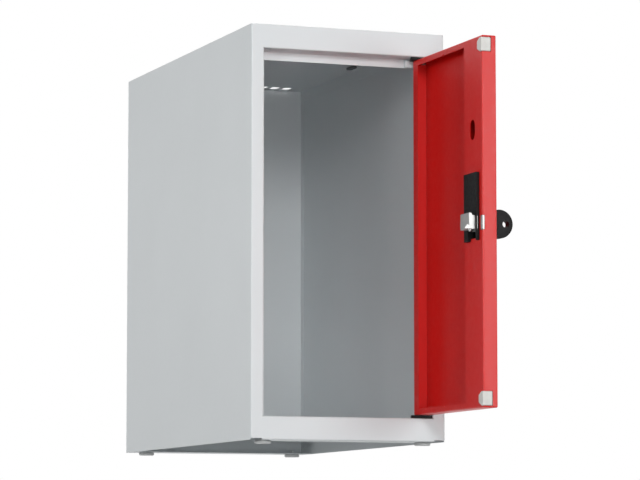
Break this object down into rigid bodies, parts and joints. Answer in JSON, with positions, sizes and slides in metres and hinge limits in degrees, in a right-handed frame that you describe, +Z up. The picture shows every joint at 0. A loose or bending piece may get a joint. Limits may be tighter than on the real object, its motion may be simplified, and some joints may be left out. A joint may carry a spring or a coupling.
{
  "type": "locker top cabinet",
  "caption": "Folded sheet-steel cabinet with one inset door on pivot pins standing open, a finger knob that drives a sliding bolt, a vented ceiling and low glide feet.",
  "frame": {"origin": "middle of the footprint of the cabinet with its open door, on the floor under the feet", "axes": "+X to the right across the front, +Y from the front to the back, +Z up"},
  "size_m": [0.2628, 0.7006, 0.504],
  "materials": {
    "grey_paint": "light grey powder coat, fine texture",
    "red_paint": "red powder coat, fine texture",
    "black_plastic": "black moulded, satin",
    "glide_plastic": "grey moulded, satin",
    "bumper_plastic": "light grey moulded, satin",
    "zinc_steel": "zinc plated",
    "bright_steel": "bright nickel plated"
  },
  "bodies": {
    "cabinet": {"left_side_panel": "grey_paint", "right_side_panel": "grey_paint", "back_panel": "grey_paint", "top_panel": "grey_paint", "bottom_panel": "grey_paint", "head_rail": "grey_paint", "sill_rail": "grey_paint", "rear_foot_rail": "grey_paint", "hinge_bracket": "grey_paint", "foot_front_left": "glide_plastic", "foot_front_right": "glide_plastic", "foot_rear_left": "glide_plastic", "foot_rear_right": "glide_plastic", "ceiling_plug_left": "black_plastic", "ceiling_plug_right": "black_plastic", "hinge_bearing_top": "black_plastic", "hinge_bearing_bottom": "black_plastic"},
    "door": {"door_pan": "red_paint", "pivot_plate_top": "zinc_steel", "pivot_plate_bottom": "zinc_steel", "pivot_pin_top": "zinc_steel", "pivot_pin_bottom": "zinc_steel", "bumper_top": "bumper_plastic", "bumper_bottom": "bumper_plastic", "lock_case": "black_plastic", "lock_rosette": "black_plastic", "lock_screw_outer": "zinc_steel", "lock_screw_inner": "zinc_steel"},
    "knob": {"knob": "black_plastic", "spindle": "zinc_steel", "lock_crank": "zinc_steel", "crank_screw": "zinc_steel"},
    "bolt": {"bolt": "bright_steel"}
  },
  "joints": [
    {"name": "door_swing", "type": "hinge", "parent": "cabinet", "child": "door", "pos_m": [0.09405, -0.14325, 0.2539], "axis": [0, 0, 1], "range_deg": [-90, 12]},
    {"name": "knob_turn", "type": "hinge", "parent": "door", "child": "knob", "pos_m": [0.10055, -0.32075, 0.2527], "axis": [1, 0, 0], "range_deg": [0, 90]},
    {"name": "bolt_slide", "type": "slide", "parent": "door", "child": "bolt", "axis": [0, -1, 0], "range_m": [0, 0.013]}
  ],
  "couplings": [
    {"joint": "knob_turn", "follows": "bolt_slide", "rad_per_m": 120.83}
  ]
}
